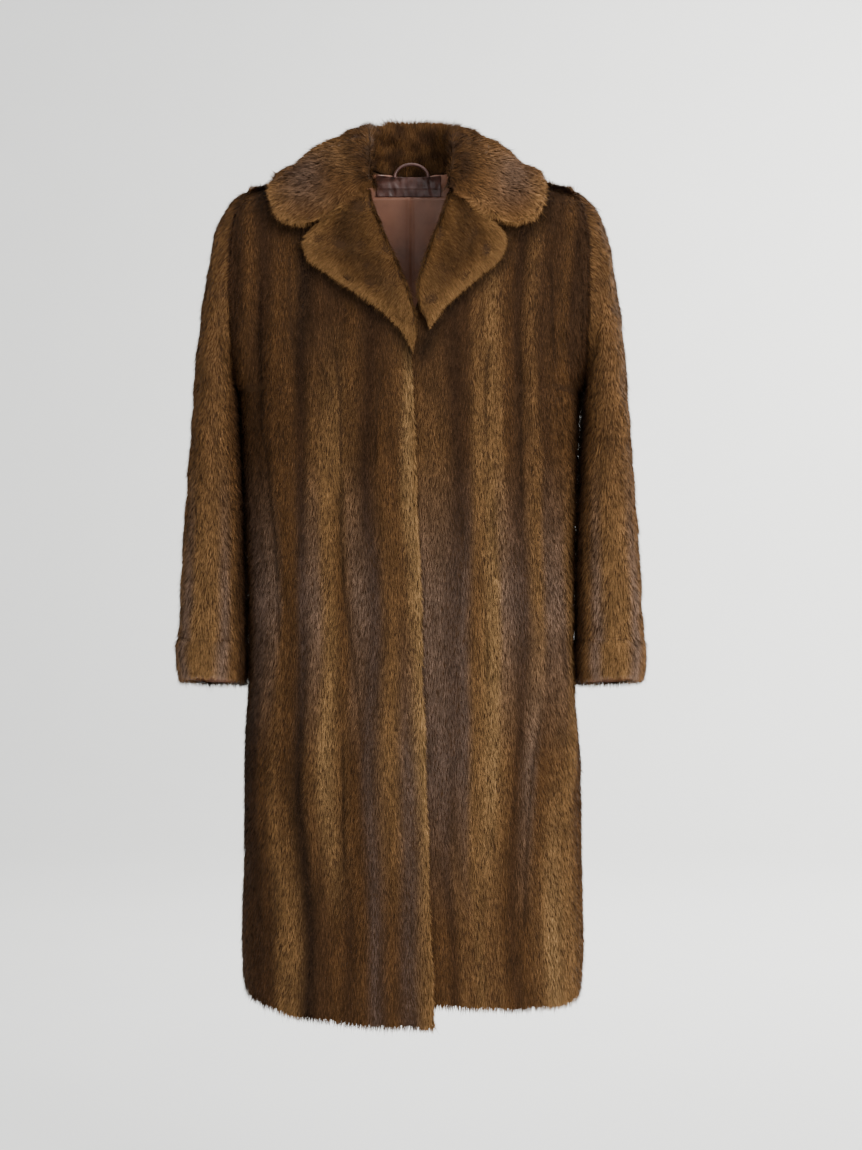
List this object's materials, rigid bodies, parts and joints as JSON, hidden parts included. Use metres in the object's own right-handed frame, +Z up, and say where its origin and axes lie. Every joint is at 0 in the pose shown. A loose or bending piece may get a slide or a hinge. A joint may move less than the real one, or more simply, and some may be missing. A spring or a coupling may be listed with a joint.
{
  "type": "fur coat",
  "caption": "Knee-length fur coat with a stand-and-fall collar, notched lapels and long cuffed sleeves, hanging from its neck loop with its form filled out and its hollows open.",
  "frame": {"origin": "the underside of the top of the hanging loop, where a hook would carry the coat", "axes": "+Z up, +Y towards the back of the coat, +X towards the wearer's left"},
  "size_m": [0.591, 0.192, 1.1317],
  "materials": {
    "pelt": "brown mink, let out in vertical stripes of gold, dark brown and lilac grey",
    "collar_pelt": "brown mink with a lilac-grey sheen at the ends of the fall",
    "lapel_pelt": "lighter golden brown mink",
    "satin": "mocha brown satin lining",
    "leather": "dark brown soft leather"
  },
  "bodies": {
    "root": {"front_right": "pelt", "front_left": "pelt", "back": "pelt", "sleeve_right": "pelt", "sleeve_left": "pelt", "cuff_right": "pelt", "cuff_left": "pelt", "collar": "collar_pelt", "lapel_right": "lapel_pelt", "lapel_left": "lapel_pelt", "lining_back": "satin", "neck_band": "leather", "hanging_loop": "leather"}
  },
  "joints": []
}
